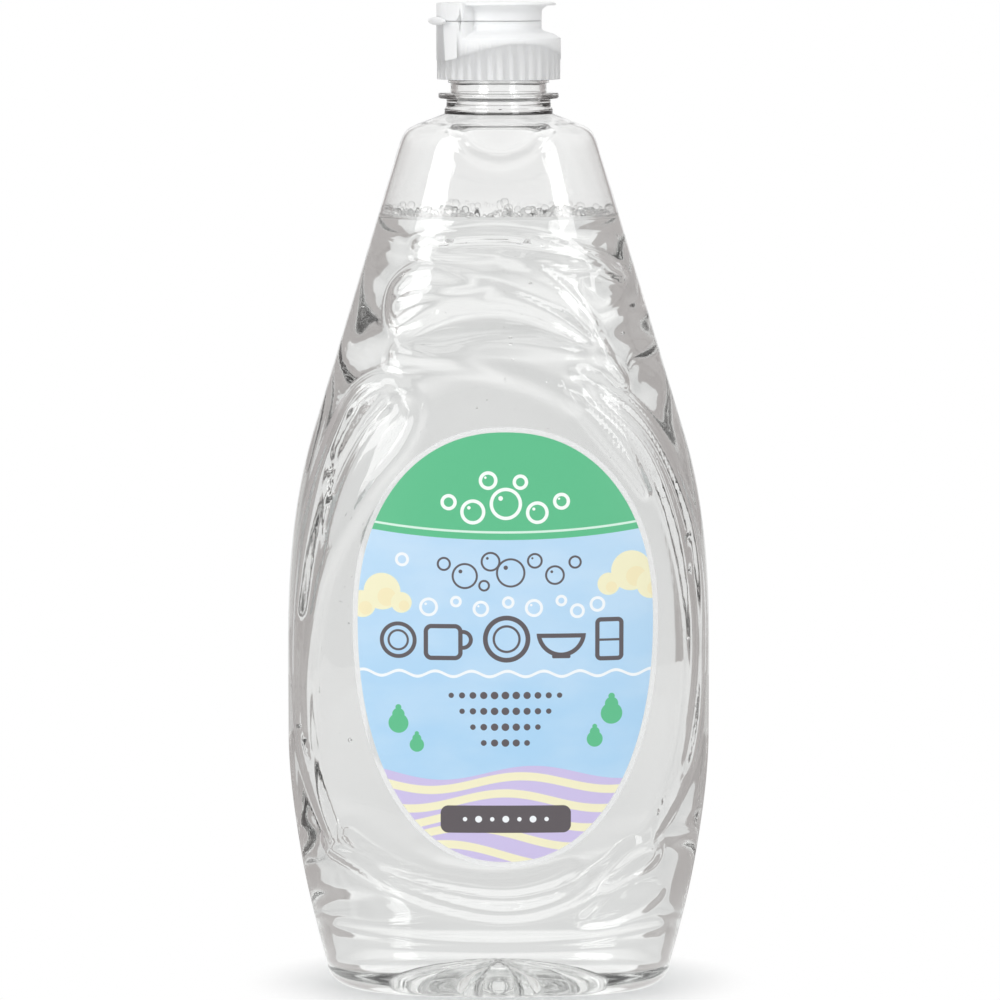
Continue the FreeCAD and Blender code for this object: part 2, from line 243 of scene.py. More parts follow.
def shoulder_ring(share, grow, top_r):
    z = SHOULDER + (NECK_FOOT + grow - SHOULDER) * share
    half_width, half_depth = half_sizes(z)
    hold = shoulder_hold(share)
    full = FULL + (ROUND - FULL) * share ** 2
    return top_r + (half_width + grow - top_r) * hold, top_r + (half_depth + grow - top_r) * hold, full, z


def dome_rings(grow, count):
    """Rings of the pushed-up foot, from its middle to its edge."""
    rings = []
    for i in range(1, count + 1):
        turn = math.pi / 2.0 * i / count
        wide = (PUSH_UP[0] + grow) * math.sin(turn)
        deep = (PUSH_UP[1] + grow) * math.sin(turn)
        rings.append((wide, deep, ROUND, (PUSH_UP[2] + grow) * math.cos(turn)))
    return rings


def blend_rings(start, end, count):
    """Rings between two rings, both left out."""
    steps = [i / (count + 1) for i in range(1, count + 1)]
    return [tuple(a + (b - a) * s for a, b in zip(start, end)) for s in steps]


print("points in a ring:", 4 * QUARTER)

# %% [markdown]
# ## The bottle's wall as one skin
# A blown bottle is one closed skin: it runs from under the foot up the outside, over the rim and down the
# inside. The mesh is made the same way, ring after ring, so it has no seams and no hidden faces, and light
# can be traced through it. The screw thread is a rise of the neck's own rings where the helix passes.

# %% Outer and inner rings
MAIN_ROWS = 188
INNER_ROWS = 62
NECK_ROOT = 12.0
NECK_RIM = 239.7
THREAD_FOOT = 230.75


def outer_rings():
    dome = dome_rings(0.0, 10)
    foot = heel_ring(0.0, 0.0)
    rows = dome + blend_rings(dome[-1], foot, 2)
    rows += [heel_ring(i / 9, 0.0) for i in range(9)]
    rows += [main_ring(HEEL_TOP + (SHOULDER - HEEL_TOP) * i / MAIN_ROWS, 0.0) for i in range(MAIN_ROWS)]
    rows += [shoulder_ring(i / 20, 0.0, COLLAR_R) for i in range(21)]
    neck = [
        (13.6, 223.2), (13.5, 223.5), (13.2, 223.9), (13.1, 224.3), (13.1, 225.8), (13.2, 226.0),
        (14.8, 226.0), (15.0, 226.08), (15.1, 226.3), (15.1, 227.1), (15.0, 227.32), (14.8, 227.4),
        (12.4, 227.4), (12.1, 227.5), (NECK_ROOT, 227.8),
    ]
    neck += [(NECK_ROOT, z) for z in (228.6, 229.7)]
    neck += [(12.72, 229.95), (12.75, 230.2), (12.72, 230.5), (12.1, 230.7)]
    steps = 27
    neck += [(NECK_ROOT, 230.8 + (239.2 - 230.8) * i / steps) for i in range(steps + 1)]
    neck += [(11.9, 239.5), (11.6, NECK_RIM), (11.1, NECK_RIM), (10.8, 239.6)]
    return rows + [(r, r, ROUND, z) for r, z in neck]


def inner_rings(grow, top_z=None):
    """Rings of the inner wall from the bore down to the middle of the foot, or from a level down."""
    rows = []
    if top_z is None:
        bore = [(BORE_R, z) for z in (239.2, 234.0, 230.0)]
        bore += [(10.85, 228.0), (11.1, 226.4), (11.35, 225.1), (11.65, 224.1)]
        bore += [(12.0, 223.2), (12.5, 222.4), (13.3, 221.6)]
        rows += [(r, r, ROUND, z) for r, z in bore]
        rows += [shoulder_ring(i / 12, grow, INNER_COLLAR_R) for i in range(10, -1, -1)]
    heights = [SHOULDER - (SHOULDER - HEEL_TOP) * i / INNER_ROWS for i in range(1, INNER_ROWS + 1)]
    rows += [main_ring(z, grow) for z in heights if top_z is None or z < top_z - 0.5]
    rows += [heel_ring(i / 7, grow) for i in range(6, -1, -1)]
    dome = dome_rings(-grow, 8)
    rows += blend_rings(rows[-1], dome[-1], 2)
    return rows + dome[::-1]


print("rings outside:", len(outer_rings()), "inside:", len(inner_rings(-WALL)))

# %% Thread and foot ribs, as shifts of the rings
THREAD = dict(pitch=4.233, start_z=231.6, start_deg=250.0, turns=1.5, height=1.3, half_width=1.1, flank=0.55)
THREAD_FADE = 0.06
ON_NECK = 0.05
FOOT_RIBS = 10
RIB_DROP = 1.1
RIB_RISE = 0.2
RIB_FADE = 0.15
RIB_TOP = 9.0


def add_thread(points):
    """Push neck points outward where the helix passes, fading at its two ends."""
    z = points[:, 2]
    radius = np.hypot(points[:, 0], points[:, 1])
    angle = (np.degrees(np.arctan2(points[:, 1], points[:, 0])) - THREAD["start_deg"]) % 360.0
    lift = np.zeros(len(points))
    for turn in (0, 1):
        along = angle / 360.0 + turn
        gap = np.abs(z - THREAD["start_z"] - along * THREAD["pitch"])
        crest = np.clip((THREAD["half_width"] - gap) / THREAD["flank"], 0.0, 1.0)
        ends = np.clip(np.minimum(along, THREAD["turns"] - along) / THREAD_FADE, 0.0, 1.0)
        lift = np.maximum(lift, crest * ends)
    on_neck = (np.abs(radius - NECK_ROOT) < ON_NECK) & (z > THREAD_FOOT)
    push = np.where(on_neck, 1.0 + lift * THREAD["height"] / NECK_ROOT, 1.0)
    points[:, 0] *= push
    points[:, 1] *= push


def add_foot_ribs(points, grow):
    """Radial ribs that hang a little from the dome under the foot."""
    u = points[:, 0] / (PUSH_UP[0] + grow)
    v = points[:, 1] / (PUSH_UP[1] + grow)
    reach = np.hypot(u, v)
    turn = np.arctan2(v, u)
    crest = np.clip(np.cos(FOOT_RIBS * turn) * 2.0 - 0.6, 0.0, 1.0)
    inside = (points[:, 2] > 0.02) & (points[:, 2] < RIB_TOP) & (reach < 1.02)
    window = np.clip(reach / RIB_RISE, 0.0, 1.0) * np.clip((1.0 - reach) / RIB_FADE, 0.0, 1.0)
    points[:, 2] -= np.where(inside, RIB_DROP * crest * window, 0.0)


print("thread turns:", THREAD["turns"], "foot ribs:", FOOT_RIBS)

# %% Turn rings into a mesh
AROUND = 4 * QUARTER
HERE = np.arange(AROUND)
NEXT = (HERE + 1) % AROUND


def ring_faces(count):
    """Quads between each ring of points and the one after it."""
    faces = []
    for low in range(0, (count - 1) * AROUND, AROUND):
        high = low + AROUND
        faces += np.stack([low + HERE, low + NEXT, high + NEXT, high + HERE], axis=1).tolist()
    return faces


def skin(name, rings, start_cap, end_cap, shape=None):
    """Closed mesh from rings. A cap is the height of the middle point that closes that end."""
    points = np.concatenate([ring(*row) for row in rings])
    if shape:
        shape(points)
    count = len(rings)
    extra = np.array([[0.0, 0.0, start_cap], [0.0, 0.0, end_cap]])
    points = np.concatenate([points, extra]) * MM
    faces = ring_faces(count)
    first = count * AROUND
    last = first - AROUND
    faces += np.stack([np.full(AROUND, first), NEXT, HERE], axis=1).tolist()
    faces += np.stack([np.full(AROUND, first + 1), last + HERE, last + NEXT], axis=1).tolist()
    mesh = bpy.data.meshes.new(name)
    mesh.from_pydata(points.tolist(), [], faces)
    mesh.update()
    return add_object(name, mesh)


RELIEF_FROM = 9.0
RELIEF_TO = 220.6
FACE_FROM = 0.42
FACE_SPAN = 0.33


def store(mesh, name, kind, values):
    attribute = mesh.attributes.new(name, kind, "POINT")
    key = "vector" if kind == "FLOAT_VECTOR" else "value"
    attribute.data.foreach_set(key, values.astype(np.float32).ravel())


def give_outward(piece, share, softness):
    """Store for each point which way the body faces, how much relief it takes and how soft that is."""
    mesh = piece.data
    points = np.empty(len(mesh.vertices) * 3)
    mesh.vertices.foreach_get("co", points)
    points = points.reshape(-1, 3) / MM
    z = np.clip(points[:, 2], HEEL_TOP, SHOULDER)
    heights, which = np.unique(np.round(z, 2), return_inverse=True)
    sizes = np.array([half_sizes(height) for height in heights])[which]
    outward = np.zeros((len(z), 3))
    outward[:, :2] = points[:, :2] / sizes ** 2
    outward /= np.maximum(np.linalg.norm(outward, axis=1), 1e-9)[:, None]
    low = np.clip((points[:, 2] - RELIEF_FROM) / 5.0, 0.0, 1.0)
    high = np.clip((RELIEF_TO - points[:, 2]) / 1.5, 0.0, 1.0)
    side = np.clip((np.abs(outward[:, 1]) - FACE_FROM) / FACE_SPAN, 0.0, 1.0)
    side = side * side * (3.0 - 2.0 * side)
    store(mesh, "outward", "FLOAT_VECTOR", outward)
    store(mesh, "takes_relief", "FLOAT", low * high * side * share(points))
    store(mesh, "relief_softness", "FLOAT", softness(points))


print("skin maker ready")

# %% [markdown]
# ## The moulded relief
# Leaves and ribbons are raised in the mould on both wide faces. They follow curves over the surface, so
# Geometry Nodes raise them: each curve is a flat guide in the X-Z plane, a Proximity node measures how far
# every point of the skin lies from it, and the skin is pushed out by a smooth profile of that distance. The
# back has the same mould half turned round, so a point on the back reads the guides with its X reversed.

# %% Guide curves, as x and z in millimetres on the front
LEAVES = {
    "left_leaf": ([
        (-41.5, 41.0), (-49.0, 62.0), (-50.6, 88.0), (-47.8, 119.0), (-41.5, 141.0), (-34.5, 153.5),
        (-26.5, 157.0), (-19.3, 150.5), (-22.5, 140.5), (-31.5, 128.7), (-42.5, 108.5), (-47.2, 84.0),
        (-45.8, 58.0),
    ], 0.9, 0.8, 2.4),
    "right_leaf": ([
        (18.4, 159.0), (32.0, 151.2), (43.0, 134.5), (49.8, 112.0), (51.2, 86.0), (48.4, 60.0),
        (38.0, 41.5), (45.6, 62.0), (48.1, 86.0), (45.4, 113.0), (37.6, 137.0), (27.0, 150.5),
    ], 0.8, 0.7, 2.3),
    "slim_leaf": ([
        (17.2, 153.2), (25.5, 147.2), (32.0, 139.4), (36.8, 128.9), (31.0, 136.8), (23.5, 146.0),
    ], 0.4, 0.6, 2.0),
    "upper_leaf": ([
        (-26.4, 174.0), (-25.0, 180.6), (-18.2, 184.9), (-8.3, 182.8), (5.0, 177.9), (18.9, 169.9),
        (30.2, 157.4), (20.5, 167.6), (8.0, 174.9), (-4.0, 177.0), (-16.0, 175.2), (-23.6, 170.0),
    ], 1.0, 0.6, 2.4),
    "berry": ([
        (22.0, 182.9), (27.6, 183.1), (30.3, 180.0), (28.6, 176.2), (24.4, 175.2), (20.5, 178.6),
    ], 0.8, 0.0, 2.8),
    "hollow": ([
        (-24.6, 167.0), (-18.0, 172.2), (-8.0, 175.0), (4.0, 175.2), (14.0, 171.6), (25.0, 164.2),
        (12.0, 165.6), (2.0, 166.1), (-8.0, 165.3), (-17.0, 164.0),
    ], -1.3, 0.3, 3.0),
    "scoop": ([
        (-10.6, 220.2), (-9.0, 215.6), (-5.8, 212.6), (0.3, 211.0), (6.4, 212.6), (9.8, 215.6), (11.6, 220.2),
    ], -0.8, 0.3, 2.0),
    "low_loop": ([
        (21.0, 20.6), (25.5, 25.0), (31.0, 28.6), (37.6, 30.0), (40.6, 27.6), (38.2, 24.4), (33.0, 22.0),
        (27.0, 20.4),
    ], 0.8, 0.5, 2.1),
}
RIDGES = {
    "low_ribbon": ([
        (-41.0, 38.0), (-36.0, 35.4), (-28.5, 31.2), (-18.0, 26.8), (-8.0, 24.2), (1.0, 23.1),
        (10.0, 24.2), (19.0, 27.6), (27.0, 33.6), (33.0, 38.6), (37.0, 39.6), (38.6, 37.2), (35.0, 33.8),
        (27.0, 30.0),
    ], 1.0, 3.2),
    "low_band": ([
        (-38.0, 41.5), (-30.0, 35.8), (-18.0, 31.6), (-4.0, 29.6), (8.0, 30.4), (18.0, 34.0),
    ], 0.55, 3.0),
    "low_band_two": ([(-30.0, 32.8), (-14.0, 29.2), (2.0, 26.8), (14.0, 28.8)], -0.5, 2.2),
    "top_ribbon": ([
        (-20.0, 190.4), (-10.0, 192.4), (2.0, 192.8), (13.0, 190.8), (23.0, 187.2), (31.0, 182.4),
    ], 1.0, 2.2),
    "top_ribbon_two": ([
        (-18.5, 188.3), (-6.0, 188.4), (8.0, 187.6), (20.0, 185.6), (30.0, 182.0),
    ], 0.6, 1.8),
    "vine": ([
        (2.0, 187.0), (10.0, 184.2), (17.0, 179.0), (22.0, 173.0), (26.5, 164.5), (31.0, 155.8),
    ], 0.7, 2.0),
    "leaf_vein": ([(-24.5, 176.6), (-17.6, 178.6), (-12.0, 178.4), (-4.0, 179.4)], 0.5, 2.0),
    "left_vein": ([
        (-27.5, 151.0), (-34.0, 143.0), (-40.0, 131.0), (-44.6, 115.0), (-47.6, 98.0),
    ], -0.7, 2.2),
    "right_vein": ([
        (25.0, 154.2), (36.5, 143.6), (44.5, 127.0), (49.0, 106.0), (49.8, 84.0), (46.4, 60.0),
    ], -0.5, 2.1),
    "left_rim": ([(-36.5, 150.0), (-42.6, 135.0), (-47.0, 116.0), (-49.2, 98.0)], 0.5, 2.1),
    "under_hollow": ([
        (-24.0, 163.5), (-14.0, 162.4), (-5.0, 160.8), (5.0, 158.0), (12.0, 155.2), (18.0, 151.8),
    ], 0.7, 4.0),
    "foot_crease": ([(-40.0, 17.4), (-20.0, 16.0), (0.0, 15.6), (20.0, 16.0), (40.0, 17.4)], 0.5, 2.6),
}


def smooth_through(points, closed, steps=6):
    """Catmull-Rom points through a few chosen ones."""
    knots = np.array(points, float)
    if closed:
        knots = np.concatenate([knots[-1:], knots, knots[:2]])
    else:
        knots = np.concatenate([2 * knots[:1] - knots[1:2], knots, 2 * knots[-1:] - knots[-2:-1]])
    path = []
    for a, b, c, d in zip(knots, knots[1:], knots[2:], knots[3:]):
        for t in np.arange(steps) / steps:
            square = (2 * a - 5 * b + 4 * c - d) * t ** 2
            cube = (3 * b - a - 3 * c + d) * t ** 3
            path.append(0.5 * (2 * b + (c - a) * t + square + cube))
    if not closed:
        path.append(knots[-2])
    return np.array(path)


def guide(name, points, closed):
    """Flat guide at y = 0: a filled outline or an open line."""
    path = smooth_through(points, closed) * MM
    verts = [(x, 0.0, z) for x, z in path]
    count = len(verts)
    mesh = bpy.data.meshes.new(name)
    if closed:
        mesh.from_pydata(verts, [], [list(range(count))])
    else:
        mesh.from_pydata(verts, [(i, i + 1) for i in range(count - 1)], [])
    return add_object(name, mesh)


leaf_guides = {name: guide("guide_" + name, data[0], True) for name, data in LEAVES.items()}
ridge_guides = {name: guide("guide_" + name, data[0], False) for name, data in RIDGES.items()}
print("guides:", len(leaf_guides), "leaves and", len(ridge_guides), "ridges")

# %% The tree that raises the relief
def near(w, target, element, point):
    node = w.node("GeometryNodeProximity", target_element=element)
    w.feed(node.inputs[0], target)
    w.feed(next(s for s in node.inputs if s.identifier == "Source Position"), point)
    return next(s for s in node.outputs if s.name == "Distance")


def named_field(w, name, data_type):
    node = w.node("GeometryNodeInputNamedAttribute", data_type=data_type)
    node.inputs[0].default_value = name
    return node.outputs[0]


def end_tree(w, geometry, material):
    """Make the result real, give it its material and pass it out."""
    real = w.node("GeometryNodeRealizeInstances")
    w.feed(real.inputs[0], geometry)
    paint = w.node("GeometryNodeSetMaterial")
    w.feed(paint.inputs["Geometry"], real.outputs[0])
    paint.inputs["Material"].default_value = material
    way_out = w.node("NodeGroupOutput")
    w.feed(way_out.inputs[0], paint.outputs[0])


def relief_tree(material):
    tree = bpy.data.node_groups.new("raise_relief", "GeometryNodeTree")
    sockets = tree.interface
    sockets.new_socket("Geometry", in_out="INPUT", socket_type="NodeSocketGeometry")
    sockets.new_socket("Relief Height", in_out="INPUT", socket_type="NodeSocketFloat")
    sockets.new_socket("Edge Softness", in_out="INPUT", socket_type="NodeSocketFloat")
    sockets.new_socket("Geometry", in_out="OUTPUT", socket_type="NodeSocketGeometry")
    w = Wiring(tree)
    way_in = w.node("NodeGroupInput")
    height_scale = way_in.outputs["Relief Height"]
    softness = w.math("MULTIPLY", way_in.outputs["Edge Softness"], named_field(w, "relief_softness", "FLOAT"))
    x, y, z = w.split(w.node("GeometryNodeInputPosition").outputs[0])
    turned = w.math("MULTIPLY", x, w.math("MULTIPLY", w.math("SIGN", y), -1.0))
    flat = w.join(turned, 0.0, z)
    total = 0.0
    for name, (_, fill, rim, rim_width) in LEAVES.items():
        info = w.node("GeometryNodeObjectInfo")
        info.inputs[0].default_value = leaf_guides[name]
        shape = info.outputs["Geometry"]
        outside = near(w, shape, "FACES", flat)
        edge = near(w, shape, "EDGES", flat)
        inside = w.math("LESS_THAN", outside, 1e-6)
        signed = w.math("MULTIPLY", edge, w.math("MULTIPLY_ADD", inside, 2.0, -1.0))
        soft = w.math("MULTIPLY", softness, rim_width * MM)
        raised = w.soft_step(signed, w.math("MULTIPLY", soft, -0.6), soft)
        total = w.math("MULTIPLY_ADD", raised, fill * MM, total)
        if rim:
            lip = w.soft_step(edge, soft, 0.0)
            total = w.math("MULTIPLY_ADD", lip, rim * MM, total)
    for name, (_, height, width) in RIDGES.items():
        info = w.node("GeometryNodeObjectInfo")
        info.inputs[0].default_value = ridge_guides[name]
        gap = near(w, info.outputs["Geometry"], "EDGES", flat)
        crest = w.soft_step(gap, w.math("MULTIPLY", softness, width * MM), 0.0)
        total = w.math("MULTIPLY_ADD", crest, height * MM, total)
    taken = w.math("MULTIPLY", height_scale, named_field(w, "takes_relief", "FLOAT"))
    total = w.math("MULTIPLY", total, taken)
    push = w.node("ShaderNodeVectorMath", operation="SCALE")
    w.feed(push.inputs[0], named_field(w, "outward", "FLOAT_VECTOR"))
    w.feed(push.inputs["Scale"], total)
    move = w.node("GeometryNodeSetPosition")
    w.feed(move.inputs["Geometry"], way_in.outputs["Geometry"])
    w.feed(move.inputs["Offset"], push.outputs[0])
    end_tree(w, move.outputs[0], material)
    return tree


def bake_nodes(piece, tree, **values):
    """Run a tree on a piece, keep the result as its plain mesh and take the modifier away."""
    modifier = piece.modifiers.new("nodes", "NODES")
    modifier.node_group = tree
    for item in tree.interface.items_tree:
        if item.item_type == "SOCKET" and item.in_out == "INPUT" and item.name in values:
            modifier[item.identifier] = values[item.name]
    bpy.context.view_layer.update()
    seen = piece.evaluated_get(bpy.context.evaluated_depsgraph_get())
    mesh = bpy.data.meshes.new_from_object(seen)
    piece.modifiers.clear()
    piece.data = mesh
    mesh.shade_smooth()
    return piece


print("relief tree ready")

# %% [markdown]
# ## Clear plastic and clear soap
# Both bend light, and the plastic bends it more than the soap does. A gap of air between them would mirror,
# so the soap's skin lies 0.12 mm within the plastic, past the wall's inner face. Very slight waves keep
# reflections alive.

# %% Clear materials
SOAP_IOR = 1.35


def new_material(name):
    material = bpy.data.materials.new(name)
    material.use_nodes = True
    w = Wiring(material.node_tree)
    shader = next(n for n in material.node_tree.nodes if n.type == "BSDF_PRINCIPLED")
    coords = w.node("ShaderNodeTexCoord").outputs["Object"]
    return material, w, shader, coords


def let_lamps_through(material, w, shader, tint):
    """Rays towards lamps pass straight through, because bent light would take hours to find a small lamp."""
    clear = w.node("ShaderNodeBsdfTransparent")
    clear.inputs["Color"].default_value = tint
    mixer = w.node("ShaderNodeMixShader")
    w.feed(mixer.inputs[0], w.node("ShaderNodeLightPath").outputs["Is Shadow Ray"])
    w.feed(mixer.inputs[1], shader.outputs[0])
    w.feed(mixer.inputs[2], clear.outputs[0])
    out = next(n for n in material.node_tree.nodes if n.type == "OUTPUT_MATERIAL")
    w.feed(out.inputs[0], mixer.outputs[0])


def clear_plastic():
    material, w, shader, coords = new_material("clear_bottle_plastic")
    shader.inputs["Base Color"].default_value = (0.974, 0.976, 0.972, 1.0)
    shader.inputs["Transmission Weight"].default_value = 1.0
    shader.inputs["IOR"].default_value = 1.57
    haze = w.soft_step(w.noise(coords, 900.0), 0.45, 0.8)
    w.feed(shader.inputs["Roughness"], w.math("MULTIPLY_ADD", haze, 0.015, 0.0))
    w.feed(shader.inputs["Normal"], w.bump(w.noise(coords, 70.0), 0.00006))
    let_lamps_through(material, w, shader, (0.95, 0.955, 0.955, 1.0))
    return material


def clear_soap():
    material, w, shader, coords = new_material("clear_dish_soap")
    shader.inputs["Base Color"].default_value = (0.985, 0.99, 0.988, 1.0)
    shader.inputs["Transmission Weight"].default_value = 1.0
    shader.inputs["IOR"].default_value = SOAP_IOR
    shader.inputs["Roughness"].default_value = 0.0
    wavy = w.bump(w.noise(coords, 45.0), 0.00002)
    on_surface = w.soft_step(w.split(coords)[2], (FILL - 0.3) * MM, (FILL - 0.05) * MM)
    froth = w.bump(w.noise(coords, 1300.0), 0.00025, on_surface, wavy)
    w.feed(shader.inputs["Normal"], froth)
    let_lamps_through(material, w, shader, (0.95, 0.96, 0.96, 1.0))
    return material


plastic = clear_plastic()
soap = clear_soap()
print("plastic and soap ready")

# %% Make the bottle and the soap
BACK_SHARE = 0.65


def body_share(points):
    radius = np.hypot(points[:, 0], points[:, 1])
    on_body = (points[:, 2] > HEEL_TOP) & (radius > BORE_R + 0.3)
    return on_body * np.where(points[:, 1] > 0.0, BACK_SHARE, 1.0)


def finish_bottle(points):
    add_thread(points)
    add_foot_ribs(points, 0.5)


INNER_SOFTNESS = 2.2
bottle_rings = outer_rings() + inner_rings(-WALL)
bottle = skin("bottle_shell", bottle_rings, PUSH_UP[2], PUSH_UP[2] + WALL, finish_bottle)
inner_start = len(outer_rings()) * AROUND


def bottle_softness(points):
    """The blown wall's inner face shows the mould's edges only softly."""
    return np.where(np.arange(len(points)) < inner_start, 1.0, INNER_SOFTNESS)


give_outward(bottle, body_share, bottle_softness)
RELIEF = {"Relief Height": 1.15, "Edge Softness": 1.0}
bake_nodes(bottle, relief_tree(plastic), **RELIEF)
bottle.data.set_sharp_from_angle(angle=math.radians(50))
print("bottle triangles:", triangles(bottle))

# %% The soap, with its small rise at the wall
SOAP_GROW = -WALL + 0.12
MENISCUS_RISE = 0.35
MENISCUS_REACH = 0.9


def soap_rings():
    """From the middle of the surface out to the wall, up the meniscus, then down the wall to the foot."""
    edge = main_ring(FILL, SOAP_GROW)
    rows = []
    for share in (0.15, 0.35, 0.55, 0.72, 0.84, 0.91, 0.95, 0.975, 0.99, 1.0):
        gap = (1.0 - share) * edge[1]
        rise = MENISCUS_RISE * math.exp(-gap / MENISCUS_REACH)
        rows.append((edge[0] * share, edge[1] * share, FULL, FILL + rise))
    return rows + inner_rings(SOAP_GROW, FILL)


def finish_soap(points):
    add_foot_ribs(points, 0.5)


def soap_share(points):
    return np.where(points[:, 1] > 0.0, BACK_SHARE, 1.0)


def soap_softness(points):
    return np.full(len(points), INNER_SOFTNESS)


dish_soap = skin("soap_fill", soap_rings()[::-1], PUSH_UP[2] - SOAP_GROW, FILL, finish_soap)
give_outward(dish_soap, soap_share, soap_softness)
bake_nodes(dish_soap, relief_tree(soap), **RELIEF)
for piece in list(leaf_guides.values()) + list(ridge_guides.values()):
    bpy.data.objects.remove(piece)
print("soap triangles:", triangles(dish_soap))

# %% [markdown]
# ## Suds and small bubbles
# Shaking leaves foam along the waterline and tiny bubbles that cling to the wall. There are hundreds, each
# alike but for its size, so one tree scatters points over a guide band, sets a small sphere on each and
# gives it a random size.

# %% The tree that scatters bubbles
def bubble_tree(material):
    tree = bpy.data.node_groups.new("scatter_bubbles", "GeometryNodeTree")
    sockets = tree.interface
    sockets.new_socket("Geometry", in_out="INPUT", socket_type="NodeSocketGeometry")
    for name in ("Density", "Smallest", "Largest"):
        sockets.new_socket(name, in_out="INPUT", socket_type="NodeSocketFloat")
    sockets.new_socket("Seed", in_out="INPUT", socket_type="NodeSocketInt")
    sockets.new_socket("Geometry", in_out="OUTPUT", socket_type="NodeSocketGeometry")
    w = Wiring(tree)
    way_in = w.node("NodeGroupInput")
    spots = w.node("GeometryNodeDistributePointsOnFaces", distribute_method="RANDOM")
    w.feed(spots.inputs["Mesh"], way_in.outputs["Geometry"])
    w.feed(spots.inputs["Density"], way_in.outputs["Density"])
    w.feed(spots.inputs["Seed"], way_in.outputs["Seed"])
    ball = w.node("GeometryNodeMeshUVSphere")
    ball.inputs["Segments"].default_value = 10
    ball.inputs["Rings"].default_value = 7
    ball.inputs["Radius"].default_value = 1.0
    chance = w.node("FunctionNodeRandomValue", data_type="FLOAT")
    share = next(s for s in chance.outputs if s.type == "VALUE")
    w.feed(next(s for s in chance.inputs if s.name == "Seed"), way_in.outputs["Seed"])
    spread = w.math("SUBTRACT", way_in.outputs["Largest"], way_in.outputs["Smallest"])
    size = w.math("MULTIPLY_ADD", w.math("POWER", share, 3.0), spread, way_in.outputs["Smallest"])
    place = w.node("GeometryNodeInstanceOnPoints")
    w.feed(place.inputs["Points"], spots.outputs["Points"])
    w.feed(place.inputs["Instance"], ball.outputs[0])
    w.feed(place.inputs["Scale"], w.join(size, size, size))
    end_tree(w, place.outputs[0], material)
    return tree


def band(name, rings):
    """Open band of faces between rings, as a guide to scatter on."""
    points = np.concatenate([ring(*row) for row in rings]) * MM
    mesh = bpy.data.meshes.new(name)
    mesh.from_pydata(points.tolist(), [], ring_faces(len(rings)))
    return add_object(name, mesh)


print("bubble tree ready")

# %% Foam on the waterline, bubbles in the soap
def thin_foam():
    material, w, shader, coords = new_material("foam_bubble")
    shader.inputs["Base Color"].default_value = (0.99, 0.99, 0.99, 1.0)
    shader.inputs["Transmission Weight"].default_value = 1.0
    shader.inputs["IOR"].default_value = 1.1
    w.feed(shader.inputs["Roughness"], w.math("MULTIPLY", w.noise(coords, 600.0), 0.04))
    let_lamps_through(material, w, shader, (0.98, 0.98, 0.98, 1.0))
    return material


def air_in_soap():
    """Light that goes from soap into air bends the other way, so the index is turned over."""
    material, w, shader, coords = new_material("air_bubble")
    air = w.node("ShaderNodeBsdfGlass")
    air.inputs["IOR"].default_value = 1.0 / SOAP_IOR
    air.inputs["Color"].default_value = (1.0, 1.0, 1.0, 1.0)
    w.feed(air.inputs["Roughness"], w.math("MULTIPLY", w.noise(coords, 600.0), 0.02))
    material.node_tree.nodes.remove(shader)
    let_lamps_through(material, w, air, (0.98, 0.98, 0.98, 1.0))
    return material


FOAM_STEPS = ((0.3, 9.0), (0.3, 4.0), (0.5, 1.6), (1.2, 0.9), (2.3, 0.7))
foam_rows = [main_ring(FILL + rise, -WALL - inset) for rise, inset in FOAM_STEPS]
foam = band("foam_on_waterline", foam_rows)
bake_nodes(foam, bubble_tree(thin_foam()), Density=460000.0, Smallest=0.00018, Largest=0.0012, Seed=4)
air_rows = [main_ring(z, -WALL - 1.2) for z in np.linspace(60.0, 194.0, 18)]
air = band("air_in_soap", air_rows)
bake_nodes(air, bubble_tree(air_in_soap()), Density=3600.0, Smallest=0.00012, Largest=0.0006, Seed=9)
print("foam faces:", len(foam.data.polygons), "air faces:", len(air.data.polygons))

# %% [markdown]
# ## Labels that follow the wall
# A film label is a few hundredths of a millimetre thick and takes the wall's curve. Its outline is an egg
# made of two half superellipses. The points are laid out flat as rings round a centre, and each is then set
# on the wall by asking the body's rule how deep the wall lies at that width and height.

# %% Set points on the wall
SLOPE_STEP = 0.2
FILM_LIFT = 0.03
FILM_THICKNESS = 0.09
FILM_SHARP = math.radians(50)


def wall_depth(x, z):
    """How far the body's outside lies from the middle plane, by halving the quarter's parameter."""
    half_width, half_depth = half_sizes(z)
    share = min(abs(x) / half_width, 0.999)
    low, high = 0.0, 1.0
    for _ in range(30):
        middle = 0.5 * (low + high)
        if quarter_shares(middle, FULL)[0] > share:
            low = middle
        else:
            high = middle
    return half_depth * quarter_shares(low, FULL)[1]


def egg(angle, centre, half_width, up, down, squareness):
    c, s = math.cos(angle), math.sin(angle)
    reach = (abs(c) ** squareness + abs(s) ** squareness) ** (-1.0 / squareness)
    return centre[0] + half_width * c * reach, centre[1] + (up if s > 0 else down) * s * reach


